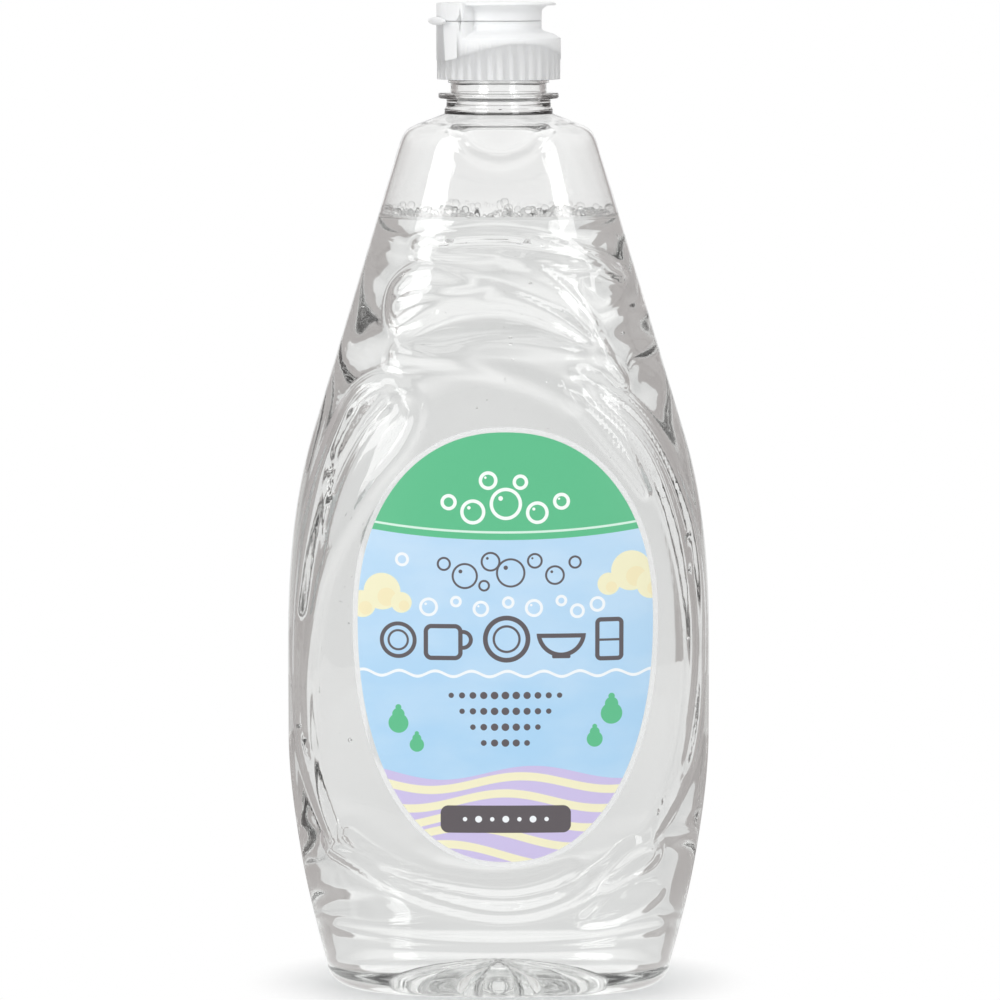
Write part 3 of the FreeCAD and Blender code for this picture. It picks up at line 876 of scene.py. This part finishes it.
def film(name, outline, side, material, rounds=36, around=180):
    """A closed thin sheet over the wall. Side is -1 for the front and 1 for the back."""
    centre = np.mean([outline(math.tau * k / around) for k in range(around)], axis=0)
    verts = []
    for level in (FILM_LIFT, FILM_LIFT + FILM_THICKNESS):
        for i in range(rounds + 1):
            for k in range(around if i else 1):
                edge = np.array(outline(math.tau * k / around))
                x, z = centre + (edge - centre) * (i / rounds)
                depth = wall_depth(x, z)
                inward = abs(x) - SLOPE_STEP if abs(x) > SLOPE_STEP else 0.0
                fall = wall_depth(abs(x) + SLOPE_STEP, z) - wall_depth(inward, z)
                slope = fall / (2.0 * SLOPE_STEP)
                length = math.hypot(1.0, slope)
                out_x = -slope * math.copysign(1.0, x) / length
                verts.append(((x + out_x * level) * MM, side * (depth + level / length) * MM, z * MM))
    layer = 1 + rounds * around
    faces = []
    for base, flip in ((0, False), (layer, True)):
        for k in range(around):
            after = (k + 1) % around
            faces.append((base, base + 1 + k, base + 1 + after)[::-1 if flip else 1])
            for i in range(rounds - 1):
                low = base + 1 + i * around
                quad = (low + k, low + around + k, low + around + after, low + after)
                faces.append(quad[::-1 if flip else 1])
    rim = 1 + (rounds - 1) * around
    for k in range(around):
        after = (k + 1) % around
        faces.append((rim + k, layer + rim + k, layer + rim + after, rim + after))
    if side > 0:
        faces = [face[::-1] for face in faces]
    mesh = bpy.data.meshes.new(name)
    mesh.from_pydata(verts, [], faces)
    mesh.materials.append(material)
    mesh.shade_smooth()
    mesh.set_sharp_from_angle(angle=FILM_SHARP)
    return add_object(name, mesh)


print("wall depth at the label's middle:", round(wall_depth(1.7, 97.0), 2))

# %% [markdown]
# ## Printed artwork from nodes
# The print is drawn by distance: a shape is wherever the distance to it is below zero, and a soft step over
# a tenth of a millimetre gives a crisp edge at any size. Shapes are laid over one another from the ground
# up, as inks are. The design is a plain one for a kitchen soap: a green dome, a pale blue field with suds,
# crockery and calm waves.

# %% Ink helpers, in millimetres on the label
class Ink:
    def __init__(self, wiring, coords):
        self.w = wiring
        x, _, z = wiring.split(coords)
        self.x = wiring.math("MULTIPLY", x, 1000.0)
        self.z = wiring.math("MULTIPLY", z, 1000.0)
        self.colour = None

    def to_disc(self, x, z, radius):
        w = self.w
        across = w.math("SUBTRACT", self.x, x)
        along = w.math("SUBTRACT", self.z, z)
        square = w.math("MULTIPLY_ADD", across, across, w.math("MULTIPLY", along, along))
        return w.math("SUBTRACT", w.math("SQRT", square), radius)

    def to_bar(self, x, z, half_width, half_height, radius):
        w = self.w
        across = w.math("SUBTRACT", w.math("ABSOLUTE", w.math("SUBTRACT", self.x, x)), half_width - radius)
        along = w.math("SUBTRACT", w.math("ABSOLUTE", w.math("SUBTRACT", self.z, z)), half_height - radius)
        out_x = w.math("MAXIMUM", across, 0.0)
        out_z = w.math("MAXIMUM", along, 0.0)
        corner = w.math("SQRT", w.math("MULTIPLY_ADD", out_x, out_x, w.math("MULTIPLY", out_z, out_z)))
        inside = w.math("MINIMUM", w.math("MAXIMUM", across, along), 0.0)
        return w.math("SUBTRACT", w.math("ADD", corner, inside), radius)

    def line(self, distance, half_width):
        return self.w.math("SUBTRACT", self.w.math("ABSOLUTE", distance), half_width)

    def join(self, *distances):
        total = distances[0]
        for distance in distances[1:]:
            total = self.w.math("MINIMUM", total, distance)
        return total

    def keep(self, distance, within):
        return self.w.math("MAXIMUM", distance, within)

    def cover(self, distance, strength=1.0):
        return self.w.math("MULTIPLY", self.w.soft_step(distance, 0.07, -0.07), strength)

    def lay(self, distance, colour, strength=1.0):
        self.colour = self.w.mix(self.cover(distance, strength), self.colour, colour)


print("ink ready")

# %% The front print
LABEL_CENTRE = (1.7, 97.0)
FILM = dict(half_width=38.1, up=48.6, down=62.0, squareness=2.2)
PRINT_MARGIN = 1.25
MEAN_REACH = 36.0
GREEN = rgb(92, 189, 139)
SKY_HIGH = rgb(200, 224, 244)
SKY_LOW = rgb(170, 210, 240)
SUDS = rgb(240, 244, 247)
CREAM = rgb(240, 236, 200)
LAVENDER = rgb(203, 192, 230)
SLATE = rgb(92, 86, 90)


def to_egg(ink, inset):
    """Distance to the print's egg, near enough at its edge."""
    w = ink.w
    across = w.math("ABSOLUTE", w.math("SUBTRACT", ink.x, LABEL_CENTRE[0]))
    along = w.math("SUBTRACT", ink.z, LABEL_CENTRE[1])
    above = w.math("GREATER_THAN", along, 0.0)
    reach = w.math("MULTIPLY_ADD", above, FILM["up"] - FILM["down"], FILM["down"] - inset)
    share_x = w.math("POWER", w.math("DIVIDE", across, FILM["half_width"] - inset), FILM["squareness"])
    share_z = w.math("POWER", w.math("DIVIDE", w.math("ABSOLUTE", along), reach), FILM["squareness"])
    size = w.math("POWER", w.math("ADD", share_x, share_z), 1.0 / FILM["squareness"])
    return w.math("MULTIPLY", w.math("SUBTRACT", size, 1.0), MEAN_REACH)


def draw_suds(ink, bubbles, colour, line=0.32):
    """Rings with a small glint, drawn as one shape."""
    rings = []
    for x, z, radius in bubbles:
        rings.append(ink.line(ink.to_disc(x, z, radius), line))
        if radius > 1.6:
            rings.append(ink.to_disc(x - 0.36 * radius, z + 0.38 * radius, 0.16 * radius))
    ink.lay(ink.join(*rings), colour)


def draw_wave(ink, base, height, length, shift, low, colour, strength=1.0):
    """Everything between a wavy line and a depth below it."""
    w = ink.w
    swell = w.math("SINE", w.math("MULTIPLY_ADD", ink.x, math.tau / length, shift))
    top = w.math("MULTIPLY_ADD", swell, height, base)
    above = w.math("SUBTRACT", ink.z, top)
    below = w.math("SUBTRACT", w.math("MULTIPLY", above, -1.0), low)
    ink.lay(w.math("MAXIMUM", above, below), colour, strength)


print("print height in mm:", FILM["up"] + FILM["down"] - 2 * PRINT_MARGIN)

# %% Lay the inks
PUFFS = (
    (-29.0, 104.5, 4.6), (-34.0, 101.2, 3.4), (-24.2, 101.8, 2.6),
    (33.0, 109.6, 5.0), (38.0, 106.0, 3.6), (27.4, 106.4, 2.8),
)
DROPS = ((-25.0, 71.4, 2.5), (-20.4, 66.0, 1.8), (28.2, 73.8, 2.7), (24.0, 67.4, 2.0))


def front_print():
    material, w, shader, coords = new_material("front_label_print")
    ink = Ink(w, coords)
    fade = w.soft_step(ink.z, 62.0, 112.0)
    streaks = w.join(ink.x, 0.0, w.math("MULTIPLY", ink.z, 2.2))
    wash = w.soft_step(w.noise(streaks, 0.045, 3.0), 0.35, 0.7)
    pale = w.math("MULTIPLY_ADD", wash, 0.35, w.math("MULTIPLY", fade, 0.4))
    ink.colour = w.mix(pale, SKY_LOW, SKY_HIGH)
    for x, z, radius in PUFFS:
        ink.lay(ink.to_disc(x, z, radius), CREAM)
        ink.lay(ink.to_disc(x + 0.25 * radius, z - 0.3 * radius, 0.5 * radius), rgb(240, 222, 172), 0.45)
    draw_wave(ink, 59.0, 1.8, 46.0, 0.4, 40.0, LAVENDER)
    for i in range(5):
        draw_wave(ink, 57.4 - 4.6 * i, 1.8 + 0.25 * i, 46.0 + 3.0 * i, 0.8 + 0.55 * i, 2.1, CREAM)
    draw_suds(ink, [
        (-2.0, 112.2, 2.2), (3.0, 109.4, 3.4), (9.0, 112.4, 1.7), (-8.4, 108.6, 3.0),
        (14.0, 108.8, 2.2), (-13.6, 111.6, 1.5), (19.0, 112.0, 1.4), (-3.6, 106.2, 1.2),
    ], SLATE, 0.26)
    draw_suds(ink, [
        (-24.0, 112.6, 1.4), (24.6, 101.4, 1.6), (-17.4, 100.8, 2.0), (-10.6, 102.2, 1.1), (-4.4, 100.4, 1.7),
        (2.4, 102.0, 1.2), (8.8, 100.6, 1.9), (15.6, 102.4, 1.1), (19.6, 99.8, 1.5),
    ], SUDS, 0.36)
    plate = [ink.line(ink.to_disc(2.0, 92.8, 5.3), 0.6), ink.line(ink.to_disc(2.0, 92.8, 3.2), 0.3)]
    small = [ink.line(ink.to_disc(-25.0, 92.4, 4.1), 0.5), ink.line(ink.to_disc(-25.0, 92.4, 2.4), 0.28)]
    cup_body = ink.to_bar(-13.8, 92.0, 4.3, 4.0, 1.4)
    handle = ink.line(ink.to_disc(-8.9, 92.6, 2.0), 0.5)
    cup = [ink.line(cup_body, 0.55), ink.keep(handle, ink.w.math("MULTIPLY", cup_body, -1.0))]
    level = ink.w.math("SUBTRACT", ink.z, 93.6)
    bowl_body = ink.keep(ink.to_disc(15.6, 94.4, 5.6), level)
    bowl = [ink.line(bowl_body, 0.55), ink.to_bar(15.6, 88.4, 2.3, 0.5, 0.4)]
    glass_body = ink.to_bar(27.6, 92.6, 3.0, 4.9, 0.9)
    glass_level = ink.line(ink.w.math("SUBTRACT", ink.z, 92.4), 0.3)
    glass = [ink.line(glass_body, 0.55), ink.keep(glass_level, glass_body)]
    ink.lay(ink.join(*plate, *small, *cup, *bowl, *glass), SLATE)
    draw_wave(ink, 84.4, 0.7, 9.0, 0.0, 0.75, SUDS)
    rows = []
    for row, count in enumerate((11, 9, 7, 5)):
        for k in range(count):
            size = 0.62 + 0.34 * math.cos(math.pi * (k - (count - 1) / 2) / count)
            rows.append(ink.to_disc(1.7 + 2.7 * (k - (count - 1) / 2), 78.6 - 4.0 * row, size))
    ink.lay(ink.join(*rows), SLATE)
    for x, z, radius in DROPS:
        parts = ((0.0, 1.0), (0.9, 0.62), (1.6, 0.3))
        discs = [ink.to_disc(x, z + rise * radius, size * radius) for rise, size in parts]
        ink.lay(ink.join(*discs), GREEN)
    bar = ink.to_bar(1.8, 47.2, 16.3, 3.5, 2.0)
    ink.lay(bar, SLATE)
    dots = [ink.to_disc(1.8 + 3.4 * (k - 3), 47.2, 0.55 + 0.3 * (k % 2)) for k in range(7)]
    ink.lay(ink.join(*dots), SUDS)
    across = w.math("SUBTRACT", ink.x, LABEL_CENTRE[0])
    dome_edge = w.math("MULTIPLY_ADD", w.math("POWER", across, 2.0), 0.0022, 117.6)
    over_edge = w.math("SUBTRACT", dome_edge, ink.z)
    ink.lay(over_edge, GREEN)
    draw_suds(ink, [
        (1.8, 126.6, 3.6), (9.6, 124.4, 2.4), (-6.4, 124.6, 2.7), (-12.4, 127.0, 1.6),
        (15.6, 127.2, 1.7), (5.4, 132.0, 1.5), (-2.6, 132.4, 1.9),
    ], rgb(244, 250, 246), 0.42)
    ink.lay(ink.line(w.math("SUBTRACT", over_edge, -1.9), 0.28), rgb(214, 240, 226))
    return material, w, shader, ink


print("front print drawn from named inks")

# %% Make the front label
def printed_film(material, w, shader, ink, inset, outer_side):
    """Print inside the margin, clear film outside it, and plain white on the side that faces the soap."""
    normal = w.split(w.node("ShaderNodeTexCoord").outputs["Normal"])[1]
    inner = w.math("GREATER_THAN", w.math("MULTIPLY", normal, outer_side), 0.0)
    inner = w.math("SUBTRACT", 1.0, inner)
    printed = ink.cover(inset)
    shown = w.mix(printed, (0.95, 0.96, 0.96, 1.0), ink.colour)
    w.feed(shader.inputs["Base Color"], w.mix(inner, shown, (0.92, 0.93, 0.93, 1.0)))
    w.feed(shader.inputs["Alpha"], w.math("MULTIPLY_ADD", printed, 0.6, 0.4))
    grain = w.noise(w.join(ink.x, 0.0, ink.z), 6.0, 4.0)
    w.feed(shader.inputs["Roughness"], w.math("MULTIPLY_ADD", grain, 0.12, 0.30))
    ripple = w.noise(w.join(ink.x, 0.0, ink.z), 0.6, 3.0)
    w.feed(shader.inputs["Normal"], w.bump(ripple, 0.00003, 0.25))
    shader.inputs["Coat Weight"].default_value = 0.12
    shader.inputs["Coat Roughness"].default_value = 0.2


def front_outline(angle):
    return egg(angle, LABEL_CENTRE, **FILM)


material, w, shader, ink = front_print()
printed_film(material, w, shader, ink, to_egg(ink, PRINT_MARGIN), -1.0)
front_film = film("front_label_film", front_outline, -1.0, material)
print("front label triangles:", triangles(front_film))

# %% Make the back label
BACK = dict(half_width=31.0, low=51.0, high=128.0, corner=9.0)


def back_outline(angle):
    """Rounded rectangle as a squared oval."""
    half = 0.5 * (BACK["high"] - BACK["low"])
    return egg(angle, (0.0, BACK["low"] + half), BACK["half_width"], half, half, 7.0)


def back_print():
    material, w, shader, coords = new_material("back_label_print")
    ink = Ink(w, coords)
    ink.colour = rgb(236, 240, 242)
    ink.lay(w.math("SUBTRACT", 119.0, ink.z), GREEN)
    draw_wave(ink, 58.0, 1.0, 30.0, 0.0, 40.0, LAVENDER)
    rows = [ink.to_bar(0.0, 112.0 - 4.4 * k, 25.0 - 2.0 * (k % 3), 0.32, 0.3) for k in range(10)]
    ink.lay(ink.join(*rows), rgb(150, 158, 164))
    draw_suds(ink, [(-18.0, 63.8, 2.4), (-12.0, 66.0, 1.6), (14.0, 64.4, 2.8), (20.0, 66.6, 1.5)], SLATE, 0.3)
    half = 0.5 * (BACK["high"] - BACK["low"])
    edge = ink.to_bar(0.0, BACK["low"] + half, BACK["half_width"] - 0.4, half - 0.4, BACK["corner"])
    return material, w, shader, ink, edge


material, w, shader, ink, inset = back_print()
printed_film(material, w, shader, ink, inset, 1.0)
back_film = film("back_label_film", back_outline, 1.0, material, 30, 160)
print("back label triangles:", triangles(back_film))

# %% [markdown]
# ## The white closure
# The flip-top is moulded in one polypropylene shot, satin and slightly see-through at thin edges. Its
# solids come from the frame. A merged copy with soft normals at its edges looks moulded, where the frame's
# loose triangles look cut.

# %% White plastic
def white_plastic(name, base):
    material, w, shader, coords = new_material(name)
    mottle = w.noise(coords, 220.0, 3.0)
    w.feed(shader.inputs["Base Color"], w.mix(mottle, base, tuple(0.985 * c for c in base[:3]) + (1.0,)))
    w.feed(shader.inputs["Roughness"], w.math("MULTIPLY_ADD", w.noise(coords, 900.0, 3.0), 0.10, 0.30))
    shader.inputs["Subsurface Weight"].default_value = 0.25
    shader.inputs["Subsurface Radius"].default_value = (1.0, 1.0, 0.95)
    shader.inputs["Subsurface Scale"].default_value = 0.0006
    bevel = w.node("ShaderNodeBevel", samples=6)
    bevel.inputs["Radius"].default_value = 0.0006
    w.feed(shader.inputs["Normal"], w.bump(w.noise(coords, 1500.0), 0.00004, 0.2, bevel.outputs[0]))
    return material


def moulded_copy(node, name, material, angle=28.0):
    """A merged, smooth-shaded copy of a frame solid."""
    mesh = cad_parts[node].data.copy()
    mesh.name = name
    working = bmesh.new()
    working.from_mesh(mesh)
    bmesh.ops.remove_doubles(working, verts=working.verts, dist=2e-6)
    working.to_mesh(mesh)
    working.free()
    mesh.materials.clear()
    mesh.materials.append(material)
    mesh.shade_smooth()
    mesh.set_sharp_from_angle(angle=math.radians(angle))
    return add_object(name, mesh)


closure_white = white_plastic("white_closure_plastic", (0.93, 0.94, 0.945, 1.0))
cap_piece = moulded_copy("cap_base", "cap_skirt", closure_white)
lid_piece = moulded_copy("flip_lid", "cap_lid", closure_white)
print("cap triangles:", len(cap_piece.data.polygons), "lid triangles:", len(lid_piece.data.polygons))

# %% Foam liner
def liner_foam():
    material, w, shader, coords = new_material("liner_foam")
    cells = w.node("ShaderNodeTexVoronoi")
    w.feed(cells.inputs["Vector"], coords)
    cells.inputs["Scale"].default_value = 4000.0
    # Painted shade: the foam is darker in the middles of its cells, the same pits that the bump below sinks,
    # and paler on the cell walls.
    painted_pit_shade = w.mix(cells.outputs["Distance"], (0.78, 0.79, 0.78, 1.0), (0.9, 0.9, 0.89, 1.0))
    w.feed(shader.inputs["Base Color"], painted_pit_shade)
    shader.inputs["Roughness"].default_value = 0.8
    w.feed(shader.inputs["Normal"], w.bump(cells.outputs["Distance"], 0.00008))
    return material


liner_piece = moulded_copy("seal_liner", "cap_liner", liner_foam())
print("liner triangles:", len(liner_piece.data.polygons))

# %% Hang every piece on its body
for piece, body, node, slot in (
    (bottle, "bottle", "bottle", "clear_bottle"),
    (dish_soap, "bottle", "dish_liquid", "clear_liquid"),
    (front_film, "bottle", "front_label", "label_print"),
    (back_film, "bottle", "back_label", "label_back"),
    (liner_piece, "liner", "seal_liner", "liner_foam"),
    (cap_piece, "cap", "cap_base", "white_closure"),
    (lid_piece, "lid", "flip_lid", "white_closure"),
):
    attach(piece, body)
    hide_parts(node)
for piece in (foam, air):
    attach(piece, "bottle")
print("pieces on bodies: 9")

# %% [markdown]
# ## Studio
# The photograph was taken on white, with a bright backdrop and two tall soft boxes at the front corners.
# Clear objects show their surroundings bent. So the world has a narrow white lane straight behind the
# bottle and is greyer to its sides, which draws the dark edge lines, and the lane gets paler upward, which
# shades the moulded relief softly. Plain surfaces see an even grey and are lit by the soft boxes.

# %% World
WHITE = (1.0, 1.0, 1.0, 1.0)
DARK_SIDE = (0.46, 0.435, 0.43, 1.0)
PLAIN_LEVEL = (0.58, 0.58, 0.58, 1.0)
FRONT_SIDE = (0.62, 0.61, 0.61, 1.0)
SWEEP_LOW = (0.74, 0.742, 0.742, 1.0)
LANE = (0.938, 0.948)


def paint_world():
    world = bpy.data.worlds.new("white_studio")
    world.use_nodes = True
    bpy.context.scene.world = world
    w = Wiring(world.node_tree)
    ground = next(n for n in world.node_tree.nodes if n.type == "BACKGROUND")
    direction = w.node("ShaderNodeTexCoord").outputs["Generated"]
    x, y, z = w.split(direction)
    wide = w.soft_step(z, -0.085, -0.11)
    behind = w.soft_step(w.math("MULTIPLY_ADD", wide, 0.028, y), *LANE)
    above = w.soft_step(z, 0.15, 0.45)
    seen = w.math("MAXIMUM", behind, w.math("MULTIPLY", above, 0.85))
    sweep = w.mix(w.soft_step(z, -0.32, 0.10), SWEEP_LOW, WHITE)
    room = w.mix(w.soft_step(y, -0.2, -0.5), DARK_SIDE, FRONT_SIDE)
    path = w.node("ShaderNodeLightPath")
    surroundings = w.mix(w.bent(path), PLAIN_LEVEL, w.mix(seen, room, sweep))
    w.feed(ground.inputs["Color"], w.mix(path.outputs["Is Camera Ray"], surroundings, WHITE))
    ground.inputs["Strength"].default_value = 1.0


paint_world()
print("world painted")

# %% Soft boxes, floor and camera
def soft_box(name, place, target, size, power):
    lamp = bpy.data.lights.new(name, "AREA")
    lamp.shape = "RECTANGLE"
    lamp.size, lamp.size_y = size
    lamp.energy = power
    box = bpy.data.objects.new(name, lamp)
    box.location = place
    direction = Vector(target) - Vector(place)
    box.rotation_euler = direction.to_track_quat("-Z", "Y").to_euler()
    bpy.context.scene.collection.objects.link(box)


soft_box("left_soft_box", (-0.84, -1.05, 0.80), (0.0, 0.0, 0.45), (0.64, 1.1), 8.0)
soft_box("right_soft_box", (0.79, -1.09, 0.80), (0.0, 0.0, 0.45), (0.36, 1.1), 4.6)
soft_box("top_soft_box", (0.0, 0.1, 1.3), (0.0, 0.0, 0.1), (0.9, 0.9), 2.2)

bpy.ops.mesh.primitive_circle_add(vertices=96, radius=0.5, fill_type="NGON", location=(0.0, 0.0, 0.0))
floor = bpy.context.object
floor.name = "studio_floor"
material, w, shader, coords = new_material("studio_floor_white")
x, y, z = w.split(coords)
across = w.math("DIVIDE", x, 0.045)
along = w.math("DIVIDE", y, 0.028)
from_foot = w.math("SQRT", w.math("MULTIPLY_ADD", across, across, w.math("MULTIPLY", along, along)))
far = w.soft_step(from_foot, 0.9, 1.5)
reach = w.math("SQRT", w.math("MULTIPLY_ADD", x, x, w.math("MULTIPLY_ADD", y, y, 0.0001)))
behind = w.soft_step(w.math("DIVIDE", y, reach), *LANE)
front = w.soft_step(y, 0.02, -0.05)
under = w.soft_step(reach, 0.13, 0.08)
lane = w.math("MAXIMUM", w.math("MAXIMUM", behind, under), w.math("MULTIPLY", front, 0.7))
path = w.node("ShaderNodeLightPath")
shader.inputs["Base Color"].default_value = (0.93, 0.93, 0.93, 1.0)
shader.inputs["Roughness"].default_value = 0.7
glow = w.node("ShaderNodeEmission")
sweep = w.mix(w.soft_step(reach, 0.05, 0.42), SWEEP_LOW, (0.87, 0.87, 0.87, 1.0))
sweep = w.mix(w.soft_step(reach, 0.075, 0.05), sweep, WHITE)
w.feed(glow.inputs["Color"], w.mix(path.outputs["Is Camera Ray"], w.mix(lane, DARK_SIDE, sweep), WHITE))
mixer = w.node("ShaderNodeMixShader")
out = next(n for n in material.node_tree.nodes if n.type == "OUTPUT_MATERIAL")
glowing = w.math("MULTIPLY", path.outputs["Is Camera Ray"], far)
w.feed(mixer.inputs[0], w.math("MAXIMUM", glowing, w.bent(path)))
w.feed(mixer.inputs[1], shader.outputs[0])
w.feed(mixer.inputs[2], glow.outputs[0])
w.feed(out.inputs[0], mixer.outputs[0])
floor.data.materials.append(material)

lens = bpy.data.cameras.new("photo_camera")
lens.lens = 157.42
lens.sensor_width = 36.0
camera = bpy.data.objects.new("photo_camera", lens)
camera.location = (0.00035, -1.1, 0.262)
camera.rotation_euler = (math.radians(90.0 - 7.125), 0.0, 0.0)
bpy.context.scene.collection.objects.link(camera)
bpy.context.scene.camera = camera
bpy.context.scene.view_settings.view_transform = "Standard"
bpy.context.scene.cycles.max_bounces = 28
bpy.context.scene.cycles.transmission_bounces = 28
bpy.context.scene.cycles.transparent_max_bounces = 16
print("camera at", tuple(camera.location))
